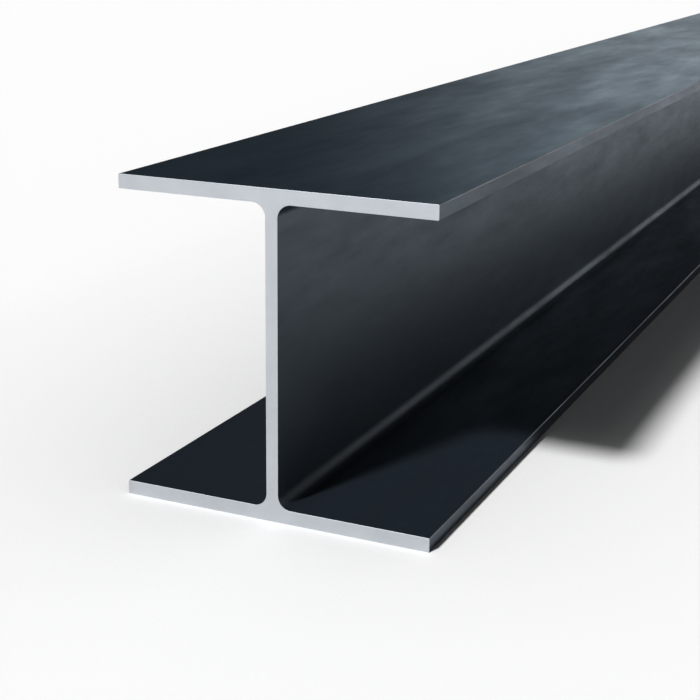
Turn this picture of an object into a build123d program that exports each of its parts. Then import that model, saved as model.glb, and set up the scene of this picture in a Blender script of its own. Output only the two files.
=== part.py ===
from build123d import *

import os

# A length of rolled wide-flange steel beam, 6 in deep by 6 in wide and 15 lb a foot, sawn square at both ends.
#
# Millimetres. X runs across the flanges, Y along the beam and Z up through the depth. The origin is on the
# underside, in the middle of the width and of the length, so the beam lies on its lower flange on Z = 0.
#
# The section is worked out from five rolled sizes and the toe's small radius. Both flanges take the same ones.

# The rolled section.
SECTION_DEPTH = 152.1  # over both flanges, 5.99 in
FLANGE_WIDTH = 152.1  # toe to toe, 5.99 in
FLANGE_THICKNESS = 6.6  # parallel-sided, 0.260 in
WEB_THICKNESS = 5.84  # 0.230 in
ROOT_RADIUS = 6.35  # where the web runs into a flange, 0.25 in
TOE_RADIUS = 0.6  # the rolls leave the toe corners slightly round

# The piece cut from it.
BEAM_LENGTH = 3048.0  # 10 ft
SAW_BREAK = 0.3  # the sharp edge taken off all round each sawn end


def flange(inner_face, outer_face):
    """One flange's rectangle, between two heights."""
    middle = (inner_face + outer_face) / 2
    return Pos(0, middle) * Rectangle(FLANGE_WIDTH, abs(outer_face - inner_face))


def section():
    """The section across the beam, drawn standing on its lower flange."""
    lower_inner = FLANGE_THICKNESS
    upper_inner = SECTION_DEPTH - FLANGE_THICKNESS
    web = Pos(0, SECTION_DEPTH / 2) * Rectangle(WEB_THICKNESS, upper_inner - lower_inner)
    outline = flange(lower_inner, 0) + web + flange(upper_inner, SECTION_DEPTH)

    root_reach = WEB_THICKNESS / 2 + ROOT_RADIUS
    roots = [corner for corner in outline.vertices() if abs(corner.X) < root_reach]
    outline = fillet(roots, ROOT_RADIUS)
    toe_reach = FLANGE_WIDTH / 2 - TOE_RADIUS
    toes = [corner for corner in outline.vertices() if abs(corner.X) > toe_reach]
    return fillet(toes, TOE_RADIUS)


def beam():
    """The section run to its length each way from the middle, with the saw's sharp edges broken."""
    standing = Plane.XZ * section()
    bar = extrude(standing, BEAM_LENGTH / 2, both=True)
    sawn_ends = bar.faces().filter_by(Axis.Y)
    sawn_edges = [edge for end in sawn_ends for edge in end.edges()]
    return chamfer(sawn_edges, SAW_BREAK)


os.makedirs("parts", exist_ok=True)
export_step(beam(), "parts/wide_flange_beam.step")
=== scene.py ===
# %% [markdown]
# # A length of wide-flange steel beam
#
# The object is one rolled piece of steel: two wide flanges of even thickness, joined by a thin web and sawn square
# at both ends. There is nothing to assemble, so its looks rest on three things: a section with its true small
# radii, a dark skin of mill scale that shines only at a low angle, and light for that skin to mirror.
#
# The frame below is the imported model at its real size, in metres. X runs across the flanges, Y along the beam and
# Z up. Every size that follows is read from the frame, or is one of the section's listed sizes.

# %% The frame
import math

import bmesh
import bpy
from mathutils import Matrix, Vector


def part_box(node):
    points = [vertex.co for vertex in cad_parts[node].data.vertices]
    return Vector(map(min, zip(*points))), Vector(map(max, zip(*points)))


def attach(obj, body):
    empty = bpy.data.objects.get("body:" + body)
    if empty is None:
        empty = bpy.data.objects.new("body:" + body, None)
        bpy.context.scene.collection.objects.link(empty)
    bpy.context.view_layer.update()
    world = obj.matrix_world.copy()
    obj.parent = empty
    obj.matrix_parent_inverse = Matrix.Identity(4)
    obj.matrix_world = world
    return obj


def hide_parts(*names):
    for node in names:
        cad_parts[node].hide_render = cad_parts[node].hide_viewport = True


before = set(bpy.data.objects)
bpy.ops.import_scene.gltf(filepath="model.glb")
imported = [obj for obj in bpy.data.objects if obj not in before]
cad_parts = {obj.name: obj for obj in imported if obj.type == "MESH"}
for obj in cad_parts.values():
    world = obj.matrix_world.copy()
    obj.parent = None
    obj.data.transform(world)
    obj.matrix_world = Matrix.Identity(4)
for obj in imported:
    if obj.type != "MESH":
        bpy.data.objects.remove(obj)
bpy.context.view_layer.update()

NODE = "wide_flange_beam"
BEAM_LOW, BEAM_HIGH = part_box(NODE)
print("frame", [round(x, 4) for x in BEAM_LOW], [round(x, 4) for x in BEAM_HIGH])

# %% [markdown]
# ## The section's sizes
#
# The frame gives the depth, the width and the length. The thicknesses and the radii come from the size list for
# this section. A rolled edge is never truly sharp: the toes of the flanges are slightly round, and the saw's burr is
# filed off all round each end. These two small roundings matter, because each catches a thin line of light. In the
# close view that line is under a pixel wide, so both are kept fine, or it would be too bright.

# %% Section sizes
MM = 0.001
DEPTH = BEAM_HIGH.z - BEAM_LOW.z
FLANGE_WIDTH = BEAM_HIGH.x - BEAM_LOW.x
LENGTH = BEAM_HIGH.y - BEAM_LOW.y
FLANGE_THICKNESS = 6.6 * MM
WEB_THICKNESS = 5.84 * MM
ROOT_RADIUS = 6.35 * MM
TOE_RADIUS = 0.45 * MM
SAW_BREAK = 0.12 * MM
print("section", round(DEPTH / MM, 2), "x", round(FLANGE_WIDTH / MM, 2), "mm, length", round(LENGTH / MM, 1))

# %% [markdown]
# ## Drawing the section as nine cells
#
# An I shape can be drawn as a sheet of three cells by three: the top row is the upper flange, the bottom row the
# lower one, and the middle cell of the middle row is the web. The other two cells of the middle row are air. So the
# sheet starts as one grid, its inner lines are pushed to where the web and the flanges meet, and two cells go.
#
# The other way would be to list the twelve corners by hand. The grid says what the shape is, and a change of one
# thickness moves both sides alike.

# %% The nine cells
CELLS_A_SIDE = 3


def real_place(positions, coordinate):
    """Where the grid line at this coordinate, of a grid from -1 to 1, belongs on the real section."""
    return positions[round((coordinate + 1) * CELLS_A_SIDE / 2)]


def section_sheet():
    """A flat sheet in the shape of the section, standing across the beam at its near end."""
    bm = bmesh.new()
    bmesh.ops.create_grid(bm, x_segments=CELLS_A_SIDE, y_segments=CELLS_A_SIDE, size=1)
    half_width = FLANGE_WIDTH / 2
    half_web = WEB_THICKNESS / 2
    across = [-half_width, -half_web, half_web, half_width]
    upward = [0, FLANGE_THICKNESS, DEPTH - FLANGE_THICKNESS, DEPTH]
    for corner in bm.verts:
        corner.co = Vector((
            real_place(across, corner.co.x),
            BEAM_LOW.y,
            BEAM_LOW.z + real_place(upward, corner.co.y),
        ))

    def is_air(cell):
        middle = cell.calc_center_median()
        beside_web = abs(middle.x) > half_web
        between_flanges = abs(middle.z - BEAM_LOW.z - DEPTH / 2) < DEPTH / 2 - FLANGE_THICKNESS
        return beside_web and between_flanges

    air = [cell for cell in bm.faces if is_air(cell)]
    bmesh.ops.delete(bm, geom=air, context="FACES")
    return bm


bm = section_sheet()
print("section sheet", len(bm.faces), "cells")

# %% [markdown]
# ## Rolling it out, and rounding its edges
#
# The mill squeezes a hot bar between shaped rolls until it has this section all along, which in a mesh is one
# extrusion. The lines between the cells are then dissolved, so that each flat is one face.
#
# The rolls leave a fillet in each of the four roots and a slight rounding on each toe. Both are bevels with a
# profile of 0.5, which is a circular arc. The roots come first, then the toes, and last the filed edge round each
# sawn end, which follows all of the arcs.

# %% The rolled bar
ROOT_SEGMENTS = 16
TOE_SEGMENTS = 5
BREAK_SEGMENTS = 2
LEVEL_WITHIN = math.radians(1)
SQUARE_TO = 0.9          # a face's normal along an axis, for one that stands square to it


def extrude_to_length(bm):
    """The sheet drawn out to the far end, with the cells' lines dissolved."""
    grown = bmesh.ops.extrude_face_region(bm, geom=bm.faces[:])
    far_corners = [item for item in grown["geom"] if isinstance(item, bmesh.types.BMVert)]
    bmesh.ops.translate(bm, verts=far_corners, vec=(0, LENGTH, 0))
    bmesh.ops.dissolve_limit(bm, angle_limit=LEVEL_WITHIN, verts=bm.verts[:], edges=bm.edges[:])
    bmesh.ops.recalc_face_normals(bm, faces=bm.faces[:])


def runs_lengthwise(edge):
    return abs(edge.verts[0].co.y - edge.verts[1].co.y) > LENGTH / 2


def bevel(bm, edges, radius, segments):
    bmesh.ops.bevel(
        bm, geom=edges, offset=radius, offset_type="OFFSET", affect="EDGES",
        segments=segments, profile=0.5, material=-1, clamp_overlap=False,
    )


def round_the_roots_and_toes(bm):
    """Fillets where the web meets a flange, and the slight rounding of the flanges' toes."""
    middle_half = FLANGE_WIDTH / 4
    long_edges = [edge for edge in bm.edges if runs_lengthwise(edge)]
    roots = [edge for edge in long_edges if abs(edge.verts[0].co.x) < middle_half]
    bevel(bm, roots, ROOT_RADIUS, ROOT_SEGMENTS)
    long_edges = [edge for edge in bm.edges if runs_lengthwise(edge)]
    toes = [edge for edge in long_edges if abs(edge.verts[0].co.x) > FLANGE_WIDTH / 2 - TOE_RADIUS]
    bevel(bm, toes, TOE_RADIUS, TOE_SEGMENTS)


def break_the_sawn_edges(bm):
    """The filed edge all round each end."""
    def borders_a_sawn_face(edge):
        return any(abs(face.normal.y) > SQUARE_TO for face in edge.link_faces)

    sawn_edges = [edge for edge in bm.edges if borders_a_sawn_face(edge)]
    bevel(bm, sawn_edges, SAW_BREAK, BREAK_SEGMENTS)


extrude_to_length(bm)
round_the_roots_and_toes(bm)
break_the_sawn_edges(bm)
bmesh.ops.recalc_face_normals(bm, faces=bm.faces[:])
open_edges = [edge for edge in bm.edges if not edge.is_manifold]
print("bar", len(bm.faces), "faces,", len(open_edges), "open edges, volume", round(bm.calc_volume() * 1e9), "mm3")

# %% [markdown]
# ## Four finishes on one piece
#
# The saw leaves bare steel on the ends and on the filed edges, and everything else keeps the skin that it got in
# the mill. That skin is a little smoother on the flat outsides of the flanges, which have slid over the roller
# tables, than inside the channels. Those of the toes' small roundings that face up are given brighter steel, which
# is partly wear from slings and stacking and partly a painted highlight for the line of light that they catch.
#
# So each face is told which of the four materials it takes. The faces are told apart by where they point and by how
# wide they are, and no picture has to be wrapped round the beam.

# %% The beam's object
# the fourth finish is the up-facing toes: partly wear, partly a painted highlight
INSIDE, SAWN, OUTSIDE, TOE_WEAR_AND_HIGHLIGHT = range(4)
FILED = 0.2              # the least part of a normal that lies along the beam on a filed or sawn face
FLAT = 0.999             # and that points up or down on a flange's flat


def finish_of(face):
    """The material that a face takes, from the way it points and its place in the section."""
    if abs(face.normal.y) > FILED:
        return SAWN
    middle = face.calc_center_median()
    height = middle.z - BEAM_LOW.z
    outermost = height < MM or height > DEPTH - MM
    if outermost and abs(face.normal.z) > FLAT:
        return OUTSIDE
    across = [corner.co.x for corner in face.verts]
    upward = [corner.co.z for corner in face.verts]
    narrow = max(max(across) - min(across), max(upward) - min(upward)) < TOE_RADIUS
    # toe roundings that face up: brighter steel, partly wear and partly a painted highlight
    if narrow and face.normal.z > 0 and abs(middle.x) > FLANGE_WIDTH / 2 - 2 * TOE_RADIUS:
        return TOE_WEAR_AND_HIGHLIGHT
    return INSIDE


counts = [0, 0, 0, 0]
for face in bm.faces:
    face.material_index = finish_of(face)
    face.smooth = True
    counts[face.material_index] += 1
# the last count is of the up-facing toe faces, with wear and a painted highlight
print("faces inside, sawn, outside, rubbed", counts)

beam_mesh = bpy.data.meshes.new("rolled_beam")
bm.to_mesh(beam_mesh)
bm.free()
beam = bpy.data.objects.new("rolled_beam", beam_mesh)
bpy.context.scene.collection.objects.link(beam)
flats = beam.modifiers.new("flats stay flat", "WEIGHTED_NORMAL")
flats.keep_sharp = True
flats.weight = 100
print("rolled beam", len(beam_mesh.vertices), "vertices,", len(beam_mesh.polygons), "faces")

# %% [markdown]
# ## Small helpers for materials
#
# A material in Blender is a little network of nodes, and the same few steps come back in each one: take the piece's
# own coordinates, stretch them, read a noise there, and turn its grey value into a roughness, a colour or a bump.
# Each step gets a short function here, so that a finish below reads like a recipe. Object coordinates are in metres
# and stay with the piece, so a pattern's scale is simply how many patches there are in a metre.

# %% Node helpers
def new_material(name):
    """An empty node tree with a Principled surface, its output and the piece's own coordinates."""
    material = bpy.data.materials.new(name)
    material.use_nodes = True
    tree = material.node_tree
    tree.nodes.clear()
    output = tree.nodes.new("ShaderNodeOutputMaterial")
    surface = tree.nodes.new("ShaderNodeBsdfPrincipled")
    tree.links.new(surface.outputs["BSDF"], output.inputs["Surface"])
    place = tree.nodes.new("ShaderNodeTexCoord").outputs["Object"]
    return material, tree, surface, place


def mapped(tree, place, scale, shift=(0.0, 0.0, 0.0)):
    """The coordinates stretched: a small scale along an axis draws the pattern out along it."""
    mapping = tree.nodes.new("ShaderNodeMapping")
    mapping.inputs["Scale"].default_value = scale
    mapping.inputs["Location"].default_value = shift
    tree.links.new(place, mapping.inputs["Vector"])
    return mapping.outputs["Vector"]


def noise(tree, vector, scale, detail=4.0, roughness=0.5):
    """Soft grey noise. Detail adds finer layers, and roughness says how strong they are."""
    node = tree.nodes.new("ShaderNodeTexNoise")
    node.inputs["Scale"].default_value = scale
    node.inputs["Detail"].default_value = detail
    node.inputs["Roughness"].default_value = roughness
    tree.links.new(vector, node.inputs["Vector"])
    return node.outputs["Fac"]


def ranged(tree, value, from_low, from_high, to_low, to_high, smooth=False):
    """One range of a grey value turned into another, and held at its ends."""
    node = tree.nodes.new("ShaderNodeMapRange")
    node.interpolation_type = "SMOOTHSTEP" if smooth else "LINEAR"
    node.inputs["From Min"].default_value = from_low
    node.inputs["From Max"].default_value = from_high
    node.inputs["To Min"].default_value = to_low
    node.inputs["To Max"].default_value = to_high
    tree.links.new(value, node.inputs["Value"])
    return node.outputs["Result"]


def share_of(tree, value, low, high):
    """0 where a grey value is low or less, 1 where it is high or more, and even between."""
    return ranged(tree, value, low, high, 0.0, 1.0)


def maths(tree, operation, first, second):
    """Arithmetic on two values, each a number or a socket."""
    node = tree.nodes.new("ShaderNodeMath")
    node.operation = operation
    for socket, value in zip(node.inputs, (first, second)):
        if isinstance(value, (int, float)):
            socket.default_value = value
        else:
            tree.links.new(value, socket)
    return node.outputs["Value"]


def mixed_colour(tree, share, first, second):
    """From the first colour, where the share is 0, to the second, where it is 1."""
    node = tree.nodes.new("ShaderNodeMix")
    node.data_type = "RGBA"
    tree.links.new(share, node.inputs["Factor"])
    for socket, value in ((node.inputs["A"], first), (node.inputs["B"], second)):
        if isinstance(value, tuple):
            socket.default_value = (*value, 1)
        else:
            tree.links.new(value, socket)
    return node.outputs["Result"]


def bumped(tree, height, distance):
    """A bump whose white stands this many metres above its black."""
    node = tree.nodes.new("ShaderNodeBump")
    node.inputs["Distance"].default_value = distance
    tree.links.new(height, node.inputs["Height"])
    return node.outputs["Normal"]


# %% [markdown]
# ## Mill scale
#
# Mill scale is the blue-grey oxide that grows on red-hot steel and cools as a thin hard skin. It is neither paint
# nor bare metal: square on it is nearly black, and at a low angle it turns pale and bluish. That is how the top of
# the beam fades from near black to light grey in one sweep.
#
# A plain glossy black would give the fade but not the colour. Here the surface is partly metallic with a very dark
# base colour, which is what it mirrors square on, and its specular tint is what it mirrors near grazing. The share
# that is not metallic gives the little light that the skin scatters.
#
# Each of the two finishes has one noise of soft clouds, drawn out along the beam as rolling draws them. A bright
# cloud is lighter and smoother and keeps the mirrored horizon. A dull one is darker and rougher, and smears the
# horizon with the dark above. One noise drives both, so the two stay in step.
#
# The smoothest patches outside keep a roughness of 0.278. They were tried smoother, and then the filter that cleans
# the render tore their edges.

# %% Mill scale
OUTSIDE_SCALE = dict(
    dull=(0.036, 0.051, 0.070), bright=(0.064, 0.088, 0.115), tint=(0.66, 0.86, 1.0),
    metallic=0.72, specular=0.25, smooth=0.278, rough=0.38,
    clouds_per_metre=(32.0, 7.0, 32.0), shift=(9.9, 15.2, 4.6), layers=5.0, fineness=0.66,
)
INSIDE_SCALE = dict(
    dull=(0.0155, 0.0212, 0.0275), bright=(0.0182, 0.0254, 0.0350), tint=(0.70, 0.85, 1.0),
    metallic=0.35, specular=0.3, smooth=0.30, rough=0.44,
    clouds_per_metre=(54.0, 11.0, 54.0), shift=(5.7, 11.3, 2.9), layers=4.0, fineness=0.75,
)
CLOUD_RANGE = (0.32, 0.68)
GRAIN_PER_METRE = (700.0, 250.0, 700.0)
GRAIN_HEIGHT = 0.001 * MM


def mill_scale(name, dull, bright, tint, metallic, specular, smooth, rough,
               clouds_per_metre, shift, layers, fineness):
    """Dark oxide with soft clouds: dull and rough where the noise is low, bright and smooth where it is high."""
    material, tree, surface, place = new_material(name)
    clouds = noise(tree, mapped(tree, place, clouds_per_metre, shift), 1.0, detail=layers, roughness=fineness)
    share = share_of(tree, clouds, *CLOUD_RANGE)
    tree.links.new(mixed_colour(tree, share, dull, bright), surface.inputs["Base Color"])
    tree.links.new(ranged(tree, share, 0.0, 1.0, rough, smooth), surface.inputs["Roughness"])
    surface.inputs["Metallic"].default_value = metallic
    surface.inputs["Specular IOR Level"].default_value = specular
    surface.inputs["Specular Tint"].default_value = (*tint, 1)
    grain = noise(tree, mapped(tree, place, GRAIN_PER_METRE), 1.0, detail=2.0)
    tree.links.new(bumped(tree, grain, GRAIN_HEIGHT), surface.inputs["Normal"])
    return material


beam_mesh.materials.append(mill_scale("mill_scale_inside", **INSIDE_SCALE))
print("mill scale inside", INSIDE_SCALE)

# %% [markdown]
# ## Sawn steel
#
# A cold saw leaves bare grey metal with fine level strokes. It is a true metal, so it has no scattered light of its
# own: it takes the key lamp's light in a broad soft lobe and sends some of it down to the floor, which is the bright
# strip in front of the end. The strokes are a noise squeezed along the height, used as a very shallow bump.

# %% Sawn steel
SAWN_DARK = (0.493, 0.521, 0.554)
SAWN_LIGHT = (0.518, 0.548, 0.580)
SAWN_SHINE = (0.44, 0.52)
MOTTLE_PER_METRE = 60.0
MOTTLE_COLOUR_RANGE = (0.35, 0.65)
MOTTLE_SHINE_RANGE = (0.3, 0.7)
STROKES_PER_METRE = (90.0, 90.0, 2000.0)
STROKE_HEIGHT = 0.02 * MM


def sawn_steel():
    """Bare grey metal, faintly mottled, with the saw's fine strokes as a bump."""
    material, tree, surface, place = new_material("sawn_steel")
    mottle = noise(tree, place, MOTTLE_PER_METRE, detail=5.0, roughness=0.6)
    colour = mixed_colour(tree, share_of(tree, mottle, *MOTTLE_COLOUR_RANGE), SAWN_DARK, SAWN_LIGHT)
    tree.links.new(colour, surface.inputs["Base Color"])
    surface.inputs["Metallic"].default_value = 1.0
    tree.links.new(ranged(tree, mottle, *MOTTLE_SHINE_RANGE, *SAWN_SHINE), surface.inputs["Roughness"])
    strokes = noise(tree, mapped(tree, place, STROKES_PER_METRE), 1.0, detail=3.0, roughness=0.6)
    tree.links.new(bumped(tree, strokes, STROKE_HEIGHT), surface.inputs["Normal"])
    return material


beam_mesh.materials.append(sawn_steel())
beam_mesh.materials.append(mill_scale("mill_scale_outside", **OUTSIDE_SCALE))
print("sawn steel, roughness", SAWN_SHINE)

# %% [markdown]
# ## Toes: wear and a painted highlight
#
# The flanges' corners take the knocks, so on the roundings that face up the skin is worn through to brighter steel,
# more in some places than in others. The same brightness also stands in for the thin line of light that these
# roundings catch, so it is partly wear and partly a painted highlight. The toes are so narrow that a plain bright
# metal would look like a drawn line. A noise that is long along the beam lets the wear and the highlight come and
# go.

# %% Toes: wear and a painted highlight
# colours of the toes' wear and painted highlight
WEAR_AND_HIGHLIGHT_DULL = (0.05, 0.06, 0.07)
WEAR_AND_HIGHLIGHT_BRIGHT = (0.20, 0.22, 0.24)
WEAR_AND_HIGHLIGHT_METALLIC = 0.9
WEAR_AND_HIGHLIGHT_ROUGHNESS = 0.36
WEAR_AND_HIGHLIGHT_PER_METRE = (6.0, 14.0, 6.0)
WEAR_AND_HIGHLIGHT_RANGE = (0.40, 0.60)


def toes_wear_and_highlight():
    """Worn steel and a painted highlight, coming and going along the beam."""
    material, tree, surface, place = new_material("toes_wear_and_highlight")
    wear_and_highlight = noise(tree, mapped(tree, place, WEAR_AND_HIGHLIGHT_PER_METRE), 1.0, detail=5.0, roughness=0.65)
    colour = mixed_colour(tree, share_of(tree, wear_and_highlight, *WEAR_AND_HIGHLIGHT_RANGE), WEAR_AND_HIGHLIGHT_DULL, WEAR_AND_HIGHLIGHT_BRIGHT)
    tree.links.new(colour, surface.inputs["Base Color"])
    surface.inputs["Metallic"].default_value = WEAR_AND_HIGHLIGHT_METALLIC
    surface.inputs["Roughness"].default_value = WEAR_AND_HIGHLIGHT_ROUGHNESS
    return material


beam_mesh.materials.append(toes_wear_and_highlight())
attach(beam, "root")
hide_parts(NODE)
print("materials", [material.name for material in beam_mesh.materials])

# %% [markdown]
# ## The floor
#
# The floor is one very wide pale sheet, wide enough that its far edge reads as a horizon from any side. A sun lamp
# alone would light it evenly right up to the beam, and the beam would seem to float. A real studio has broad light
# from all round, which a standing object partly hides from the floor beside it.
#
# That light can't simply be added here, because it would also fill the dark shadow. So the floor's own colour is
# darkened a little where the beam hides part of the sky, which the Ambient Occlusion node measures. Its normal is
# tipped a little towards the side that the broad light comes from, so the other side darkens more.

# %% Floor
FLOOR_HALF = 90.0
FLOOR_PALE = 0.97
FLOOR_DARKENING = 0.43
FLOOR_REACH = 0.35
SKY_SIDE = (0.18, 0.18, 0.97)
SKY_RAYS = 4


def floor_finish():
    """Plain matt white, darkened where the beam hides part of the sky."""
    material, tree, surface, _ = new_material("pale_floor")
    openness = tree.nodes.new("ShaderNodeAmbientOcclusion")
    openness.samples = SKY_RAYS
    openness.inputs["Distance"].default_value = FLOOR_REACH
    tipped = tree.nodes.new("ShaderNodeCombineXYZ")
    for socket, value in zip(tipped.inputs, SKY_SIDE):
        socket.default_value = value
    tree.links.new(tipped.outputs["Vector"], openness.inputs["Normal"])
    darkest = FLOOR_PALE * (1 - FLOOR_DARKENING)
    tree.links.new(ranged(tree, openness.outputs["AO"], 0.0, 1.0, darkest, FLOOR_PALE), surface.inputs["Base Color"])
    surface.inputs["Roughness"].default_value = 1.0
    surface.inputs["Specular IOR Level"].default_value = 0.0
    return material


bm = bmesh.new()
bmesh.ops.create_grid(bm, x_segments=1, y_segments=1, size=FLOOR_HALF)
floor_mesh = bpy.data.meshes.new("floor")
bm.to_mesh(floor_mesh)
bm.free()
floor_mesh.materials.append(floor_finish())
floor = bpy.data.objects.new("floor", floor_mesh)
floor.location.z = BEAM_LOW.z
bpy.context.scene.collection.objects.link(floor)
print("floor", 2 * FLOOR_HALF, "m square at height", round(floor.location.z, 6))

# %% [markdown]
# ## The key light
#
# One soft lamp stands in front, to the left and above. The shadow tells where: its edges lie beside the beam and
# behind the sawn end at distances that, over the beam's depth, give the light's direction, and the width of their
# blur gives the lamp's apparent size. A sun lamp with a wide angle does the same at every distance, where an area
# lamp's light would fall off along so long a piece.
#
# A real soft lamp is brightest in its middle, so its shadow fades in two steps: quickly at first, then slowly. Two
# suns from one direction do the same, a strong narrow one for the core and a weak wide one for the halo round it.

# %% Key light
KEY_TRAVEL = Vector((0.342, 1.03, -1.0))
LAMP_DISTANCE = 2.5      # only where the lamp is drawn: a sun lights from a direction
KEY_STRENGTH = 4.04
KEY_SPREAD = 5.6
HALO_STRENGTH = 0.36
HALO_SPREAD = 15.0


def sun(name, strength, spread):
    """A sun lamp along the key's direction. Spread is its apparent width in degrees, which blurs its shadow."""
    data = bpy.data.lights.new(name, "SUN")
    data.energy = strength
    data.angle = math.radians(spread)
    lamp = bpy.data.objects.new(name, data)
    lamp.rotation_mode = "QUATERNION"
    lamp.rotation_quaternion = KEY_TRAVEL.to_track_quat("-Z", "Y")
    lamp.location = -LAMP_DISTANCE * KEY_TRAVEL
    bpy.context.scene.collection.objects.link(lamp)


sun("key", KEY_STRENGTH, KEY_SPREAD)
sun("halo", HALO_STRENGTH, HALO_SPREAD)
key_height = math.degrees(math.asin(-KEY_TRAVEL.normalized().z))
print("key light", round(key_height, 1), "degrees up, strength", KEY_STRENGTH, "+", HALO_STRENGTH)

# %% [markdown]
# ## What the steel mirrors
#
# Dark glossy steel has hardly any colour of its own, so its looks are what it mirrors. The world here is a round
# studio with four parts:
#
# - A pale band along the horizon, as bright as the floor, so that no seam shows between them.
# - A dark ceiling above the band. The wide ramp between them is the fade along the top of the beam.
# - Two black cards. The left one keeps the near end of the top face almost black, and its soft edge is part of the
#   fade. The right one keeps the lower part of the web and the shadow on the floor dark.
# - A soft window low on the right, which lights the lower flange and draws the bright line in the root fillet.
#
# An image of a real studio would be the usual way. Here each part is a smooth ramp on the height of a direction or
# on its compass angle, so each can be moved by itself.

# %% Surroundings
STUDIO_PALE = 0.97
STUDIO_DARK = 0.010
BAND_TOP = (0.18, 0.345)
LEFT_CARD = (-72, -60, -27.5, -10)          # compass angles in degrees: starts, full, full, ends
RIGHT_CARD = (26, 38, 62, 78)
WINDOW_COMPASS = (5, 11, 22, 28)
WINDOW_HEIGHT = (0.14, 0.18, 0.34, 0.42)
WINDOW_LIGHT = 0.85


def outside_of(tree, value, first, second, third, fourth):
    """1 outside a range and 0 inside it, with a soft ramp at each end."""
    below = ranged(tree, value, first, second, 1.0, 0.0, smooth=True)
    above = ranged(tree, value, third, fourth, 0.0, 1.0, smooth=True)
    return maths(tree, "MAXIMUM", below, above)


def surroundings():
    """A pale band low all round and dark above it, with two black cards and a soft window."""
    world = bpy.data.worlds.new("studio")
    world.use_nodes = True
    tree = world.node_tree
    tree.nodes.clear()
    output = tree.nodes.new("ShaderNodeOutputWorld")
    background = tree.nodes.new("ShaderNodeBackground")
    tree.links.new(background.outputs["Background"], output.inputs["Surface"])
    direction = tree.nodes.new("ShaderNodeSeparateXYZ")
    tree.links.new(tree.nodes.new("ShaderNodeTexCoord").outputs["Generated"], direction.inputs["Vector"])
    low = ranged(tree, direction.outputs["Z"], *BAND_TOP, 1.0, 0.0, smooth=True)
    compass = maths(tree, "ARCTAN2", direction.outputs["X"], direction.outputs["Y"])
    off_left_card = outside_of(tree, compass, *map(math.radians, LEFT_CARD))
    off_right_card = outside_of(tree, compass, *map(math.radians, RIGHT_CARD))
    off_cards = maths(tree, "MULTIPLY", off_left_card, off_right_card)
    pale_share = maths(tree, "MULTIPLY", low, off_cards)
    colour = mixed_colour(tree, pale_share, (STUDIO_DARK,) * 3, (STUDIO_PALE,) * 3)
    beside = outside_of(tree, compass, *map(math.radians, WINDOW_COMPASS))
    over = outside_of(tree, direction.outputs["Z"], *WINDOW_HEIGHT)
    colour = mixed_colour(tree, maths(tree, "MAXIMUM", beside, over), (WINDOW_LIGHT,) * 3, colour)
    tree.links.new(colour, background.inputs["Color"])
    background.inputs["Strength"].default_value = 1.0
    return world


bpy.context.scene.world = surroundings()
bpy.context.scene.view_settings.view_transform = "Standard"
print("studio pale", STUDIO_PALE, "dark", STUDIO_DARK)

# %% [markdown]
# ## The camera
#
# A camera can be found from a photograph of a thing of known size. The corners of the sawn end and the long edges
# were matched by a least squares fit, which gave the lens, the place and the three angles. The focal length comes
# out in pixels of the square picture, and Blender wants it in millimetres on its sensor, which is the same ratio.

# %% Camera
PICTURE = 700
FOCAL_PIXELS = 1454.4
SENSOR = 36.0
CLIP = (0.05, 300.0)
camera_data = bpy.data.cameras.new("camera")
camera_data.sensor_width = SENSOR
camera_data.lens = FOCAL_PIXELS / PICTURE * SENSOR
camera_data.clip_start, camera_data.clip_end = CLIP
camera = bpy.data.objects.new("camera", camera_data)
CAMERA_AZIMUTH = math.radians(-24.303)
CAMERA_PITCH = math.radians(-16.827)
CAMERA_ROLL = math.radians(0.72)
CAMERA_PLACE = Vector((0.28057, BEAM_LOW.y - 0.53833, 0.26468))
turn = Matrix.Rotation(-CAMERA_AZIMUTH, 4, "Z")
tip = Matrix.Rotation(math.radians(90) + CAMERA_PITCH, 4, "X")
roll = Matrix.Rotation(CAMERA_ROLL, 4, "Z")
camera.matrix_world = Matrix.Translation(CAMERA_PLACE) @ turn @ tip @ roll
bpy.context.scene.collection.objects.link(camera)
bpy.context.scene.camera = camera
print("camera lens", round(camera_data.lens, 2), "mm at", [round(x, 3) for x in CAMERA_PLACE])
